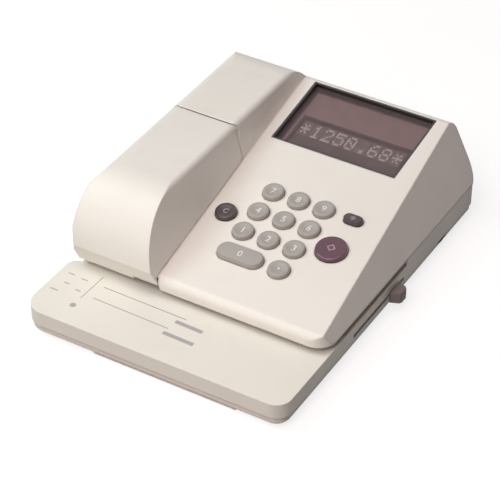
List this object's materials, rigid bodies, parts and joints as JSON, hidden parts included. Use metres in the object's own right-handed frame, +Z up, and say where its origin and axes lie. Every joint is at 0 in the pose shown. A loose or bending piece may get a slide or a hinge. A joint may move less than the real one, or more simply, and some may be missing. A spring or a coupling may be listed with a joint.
{
  "type": "check writer",
  "caption": "Electronic check writer: flat table, paper throat, sloping keypad and display, and a geared type wheel under a printer cover that opens.",
  "frame": {"origin": "middle of the bounding box in plan, on the desk under the rubber feet", "axes": "+X to the right of a user at the keys, +Y from the table towards the back, +Z up"},
  "size_m": [0.206, 0.274, 0.0815],
  "materials": {
    "case_plastic": "moulded, fine texture, satin",
    "base_plastic": "moulded, fine texture",
    "key_grey": "moulded, satin",
    "key_dark": "moulded, satin",
    "key_maroon": "moulded, gloss",
    "bezel_plastic": "gloss",
    "lens": "tinted clear, polished",
    "lcd": "display cell, polished",
    "black_plastic": "moulded",
    "rubber": "soft, dull",
    "silicone": "soft, dull",
    "circuit_board": "glass-fibre laminate with solder mask",
    "steel": "zinc plated",
    "spring_steel": "nickel plated",
    "bronze": "sintered",
    "brass": "turned",
    "nylon": "moulded",
    "ink_rubber": "ink-filled, dull",
    "copper": "enamelled winding",
    "battery_wrap": "printed wrap"
  },
  "bodies": {
    "machine": {"base_pan": "base_plastic", "table_cover": "case_plastic", "battery_cells": "battery_wrap", "battery_contacts": "spring_steel", "rubber_feet": "rubber", "case_screws": "steel", "upper_case": "case_plastic", "throat_roof": "steel", "works_screws": "steel", "cover_hinge_pin": "steel", "display_bezel": "bezel_plastic", "display_lens": "lens", "lcd_panel": "lcd", "lcd_surround": "bezel_plastic", "lcd_frame": "black_plastic", "keypad_board": "circuit_board", "key_mat": "silicone", "board_screws": "steel", "main_board": "circuit_board", "board_parts": "black_plastic", "dc_jack": "black_plastic", "power_switch": "black_plastic", "printer_frame": "steel", "frame_pins": "steel", "print_motor": "steel", "ink_holder": "black_plastic", "shaft_bushes": "bronze", "hammer_coil": "copper"},
    "printer_cover": {"printer_cover": "case_plastic"},
    "wheel_set": {"print_shaft": "steel", "type_wheel": "black_plastic", "wheel_gear": "nylon"},
    "motor_rotor": {"motor_shaft": "steel", "motor_pinion": "brass"},
    "idler": {"idler_gear": "nylon"},
    "feed_set": {"feed_shaft": "steel", "feed_roller": "rubber", "feed_gear": "nylon"},
    "ink_roller": {"ink_roller": "ink_rubber"},
    "pinch_arm": {"pinch_arm": "steel"},
    "pinch_roller": {"pinch_roller": "rubber"},
    "hammer": {"print_hammer": "steel"},
    "check_stop": {"check_stop": "steel", "stop_knob": "black_plastic"},
    "switch_slider": {"switch_slider": "black_plastic"},
    "battery_door": {"battery_door": "base_plastic"},
    "key_7": {"key_7": "key_grey"},
    "key_8": {"key_8": "key_grey"},
    "key_9": {"key_9": "key_grey"},
    "key_4": {"key_4": "key_grey"},
    "key_5": {"key_5": "key_grey"},
    "key_6": {"key_6": "key_grey"},
    "key_1": {"key_1": "key_grey"},
    "key_2": {"key_2": "key_grey"},
    "key_3": {"key_3": "key_grey"},
    "key_0": {"key_0": "key_grey"},
    "key_point": {"key_point": "key_grey"},
    "key_clear": {"key_clear": "key_dark"},
    "key_mode": {"key_mode": "key_dark"},
    "key_print": {"key_print": "key_maroon"}
  },
  "joints": [
    {"name": "cover_hinge", "type": "hinge", "parent": "machine", "child": "printer_cover", "pos_m": [-0.07, 0.0354, 0.076], "axis": [-1, 0, 0], "range_deg": [0, 45]},
    {"name": "wheel_spin", "type": "hinge", "parent": "machine", "child": "wheel_set", "pos_m": [-0.068, -0.002, 0.044], "axis": [0, -1, 0], "continuous": true},
    {"name": "motor_spin", "type": "hinge", "parent": "machine", "child": "motor_rotor", "pos_m": [-0.06055, 0.046, 0.06692], "axis": [0, -1, 0], "continuous": true},
    {"name": "idler_spin", "type": "hinge", "parent": "machine", "child": "idler", "pos_m": [-0.04707, 0.046, 0.02841], "axis": [0, -1, 0], "continuous": true},
    {"name": "feed_spin", "type": "hinge", "parent": "machine", "child": "feed_set", "pos_m": [-0.05, 0.008, 0.0136], "axis": [0, -1, 0], "continuous": true},
    {"name": "ink_spin", "type": "hinge", "parent": "machine", "child": "ink_roller", "pos_m": [-0.0828, -0.042, 0.06513], "axis": [0, -1, 0], "continuous": true},
    {"name": "pinch_lift", "type": "hinge", "parent": "machine", "child": "pinch_arm", "pos_m": [-0.074, -0.012, 0.0335], "axis": [0, 1, 0], "range_deg": [0, 12], "stiffness_Nm_per_rad": 0.02, "springref_deg": -34.38},
    {"name": "pinch_spin", "type": "hinge", "parent": "pinch_arm", "child": "pinch_roller", "pos_m": [-0.05, -0.012, 0.0319], "axis": [0, -1, 0], "continuous": true},
    {"name": "hammer_strike", "type": "slide", "parent": "machine", "child": "hammer", "axis": [0, 0, 1], "range_m": [0, 0.0058], "stiffness_N_per_m": 150, "springref_m": -0.002},
    {"name": "stop_slide", "type": "slide", "parent": "machine", "child": "check_stop", "axis": [0, 1, 0], "range_m": [-0.05, 0.006]},
    {"name": "switch_slide", "type": "slide", "parent": "machine", "child": "switch_slider", "axis": [0, 1, 0], "range_m": [0, 0.004]},
    {"name": "door_drop", "type": "slide", "parent": "machine", "child": "battery_door", "axis": [0, 0, -1], "range_m": [0, 0.02]},
    {"name": "key_7_press", "type": "slide", "parent": "machine", "child": "key_7", "axis": [0, 0.165, -0.9863], "range_m": [0, 0.002], "stiffness_N_per_m": 350, "springref_m": -0.001},
    {"name": "key_8_press", "type": "slide", "parent": "machine", "child": "key_8", "axis": [0, 0.165, -0.9863], "range_m": [0, 0.002], "stiffness_N_per_m": 350, "springref_m": -0.001},
    {"name": "key_9_press", "type": "slide", "parent": "machine", "child": "key_9", "axis": [0, 0.165, -0.9863], "range_m": [0, 0.002], "stiffness_N_per_m": 350, "springref_m": -0.001},
    {"name": "key_4_press", "type": "slide", "parent": "machine", "child": "key_4", "axis": [0, 0.165, -0.9863], "range_m": [0, 0.002], "stiffness_N_per_m": 350, "springref_m": -0.001},
    {"name": "key_5_press", "type": "slide", "parent": "machine", "child": "key_5", "axis": [0, 0.165, -0.9863], "range_m": [0, 0.002], "stiffness_N_per_m": 350, "springref_m": -0.001},
    {"name": "key_6_press", "type": "slide", "parent": "machine", "child": "key_6", "axis": [0, 0.165, -0.9863], "range_m": [0, 0.002], "stiffness_N_per_m": 350, "springref_m": -0.001},
    {"name": "key_1_press", "type": "slide", "parent": "machine", "child": "key_1", "axis": [0, 0.165, -0.9863], "range_m": [0, 0.002], "stiffness_N_per_m": 350, "springref_m": -0.001},
    {"name": "key_2_press", "type": "slide", "parent": "machine", "child": "key_2", "axis": [0, 0.165, -0.9863], "range_m": [0, 0.002], "stiffness_N_per_m": 350, "springref_m": -0.001},
    {"name": "key_3_press", "type": "slide", "parent": "machine", "child": "key_3", "axis": [0, 0.165, -0.9863], "range_m": [0, 0.002], "stiffness_N_per_m": 350, "springref_m": -0.001},
    {"name": "key_0_press", "type": "slide", "parent": "machine", "child": "key_0", "axis": [0, 0.165, -0.9863], "range_m": [0, 0.002], "stiffness_N_per_m": 350, "springref_m": -0.001},
    {"name": "key_point_press", "type": "slide", "parent": "machine", "child": "key_point", "axis": [0, 0.165, -0.9863], "range_m": [0, 0.002], "stiffness_N_per_m": 350, "springref_m": -0.001},
    {"name": "key_clear_press", "type": "slide", "parent": "machine", "child": "key_clear", "axis": [0, 0.165, -0.9863], "range_m": [0, 0.002], "stiffness_N_per_m": 350, "springref_m": -0.001},
    {"name": "key_mode_press", "type": "slide", "parent": "machine", "child": "key_mode", "axis": [0, 0.165, -0.9863], "range_m": [0, 0.002], "stiffness_N_per_m": 350, "springref_m": -0.001},
    {"name": "key_print_press", "type": "slide", "parent": "machine", "child": "key_print", "axis": [0, 0.165, -0.9863], "range_m": [0, 0.002], "stiffness_N_per_m": 350, "springref_m": -0.001}
  ],
  "couplings": [
    {"joint": "motor_spin", "follows": "wheel_spin", "ratio": -3},
    {"joint": "idler_spin", "follows": "wheel_spin", "ratio": -2.25},
    {"joint": "feed_spin", "follows": "wheel_spin", "ratio": 2.5714},
    {"joint": "ink_spin", "follows": "wheel_spin", "ratio": -2.1875}
  ]
}
